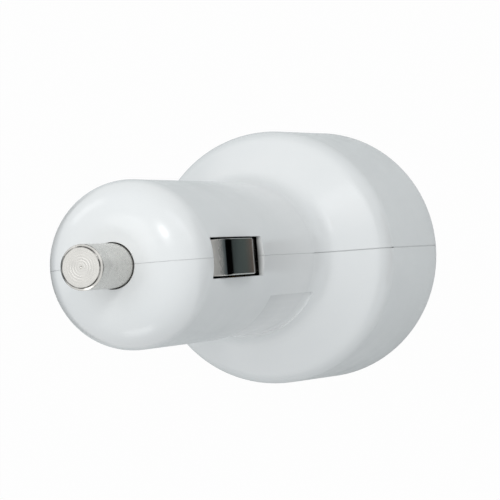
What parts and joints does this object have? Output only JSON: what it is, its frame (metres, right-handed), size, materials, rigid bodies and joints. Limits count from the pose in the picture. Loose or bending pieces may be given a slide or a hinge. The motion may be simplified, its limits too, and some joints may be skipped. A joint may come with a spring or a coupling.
{
  "type": "car usb charger plug",
  "caption": "Lighter-socket power plug with a USB-A port in its round head, a moulded two-part housing, a sprung tip pin and two bowed side contacts.",
  "frame": {"origin": "centre of the flat rear face of the head, on which the plug stands", "axes": "+Z along the plug's axis to its tip pin, +X through one side contact, +Y out of the upper half of the housing, whose joint is the plane y = 0"},
  "size_m": [0.0358, 0.0358, 0.0855],
  "materials": {
    "housing": "moulded white ABS, polished",
    "pin_nickel": "turned brass, nickel plated",
    "spring_steel": "drawn spring wire",
    "terminal_brass": "stamped brass",
    "leaf_nickel": "bright nickel plated spring strip",
    "board": "glass epoxy with solder mask",
    "port_steel": "stamped, nickel plated",
    "port_plastic": "moulded nylon",
    "blade_gold": "gold flash over bronze",
    "chip_epoxy": "moulded epoxy",
    "tinned_leads": "tinned",
    "ferrite": "sintered",
    "copper": "enamelled wire",
    "capacitor_sleeve": "sleeved can",
    "fuse_ceramic": "matt",
    "resistor_ceramic": "glazed film",
    "capacitor_ceramic": "fired"
  },
  "bodies": {
    "housing": {"upper_shell": "housing", "lower_shell": "housing", "tip_spring": "spring_steel", "spring_terminal": "terminal_brass", "ground_terminal_right": "terminal_brass", "ground_terminal_left": "terminal_brass", "circuit_board": "board", "usb_shell": "port_steel", "usb_tongue": "port_plastic", "usb_pin_1": "blade_gold", "usb_pin_2": "blade_gold", "usb_pin_3": "blade_gold", "usb_pin_4": "blade_gold", "controller_chip": "chip_epoxy", "chip_leads": "tinned_leads", "coil_core": "ferrite", "coil_winding": "copper", "input_capacitor": "capacitor_sleeve", "output_capacitor": "capacitor_sleeve", "flyback_diode": "chip_epoxy", "input_fuse": "fuse_ceramic", "sense_resistor": "resistor_ceramic", "feedback_resistor_1": "resistor_ceramic", "feedback_resistor_2": "resistor_ceramic", "timing_capacitor": "capacitor_ceramic"},
    "tip": {"tip_contact": "pin_nickel"},
    "right_contact": {"side_contact_right": "leaf_nickel"},
    "left_contact": {"side_contact_left": "leaf_nickel"}
  },
  "joints": [
    {"name": "tip_press", "type": "slide", "parent": "housing", "child": "tip", "axis": [0, 0, -1], "range_m": [0, 0.0025], "stiffness_N_per_m": 2000, "springref_m": -0.001, "deforming": ["tip_spring"]},
    {"name": "right_contact_press", "type": "slide", "parent": "housing", "child": "right_contact", "axis": [-1, 0, 0], "range_m": [0, 0.001], "stiffness_N_per_m": 4000, "springref_m": -0.0005},
    {"name": "left_contact_press", "type": "slide", "parent": "housing", "child": "left_contact", "axis": [1, 0, 0], "range_m": [0, 0.001], "stiffness_N_per_m": 4000, "springref_m": -0.0005}
  ]
}
